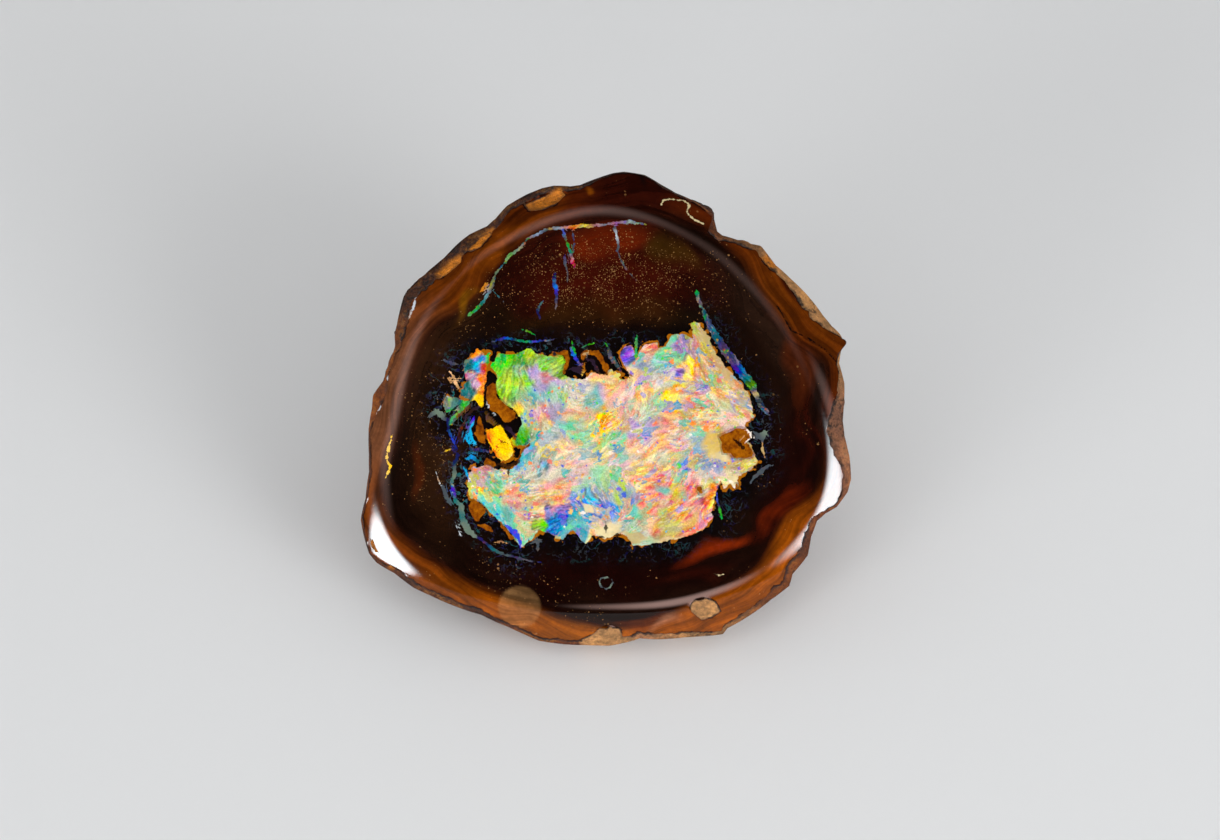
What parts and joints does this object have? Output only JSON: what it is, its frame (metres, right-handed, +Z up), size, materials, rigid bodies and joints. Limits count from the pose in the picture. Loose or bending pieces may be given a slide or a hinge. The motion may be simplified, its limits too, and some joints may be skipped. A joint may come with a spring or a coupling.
{
  "type": "rough opal specimen",
  "caption": "Natural boulder opal nodule: a rough ironstone stone with one polished, domed face, resting tilted on a flat of its underside.",
  "frame": {"origin": "centre of the bounding box's bottom, on the surface that the specimen rests on", "axes": "+Z up; the polished face looks up and forwards, its outward normal 43 degrees from +Z towards -Y; +X runs right across the face and is the longest extent"},
  "size_m": [0.0401, 0.0317, 0.0281],
  "materials": {
    "opal_ironstone": "polished face, matt rough skin"
  },
  "bodies": {
    "root": {"opal_specimen": "opal_ironstone"}
  },
  "joints": []
}
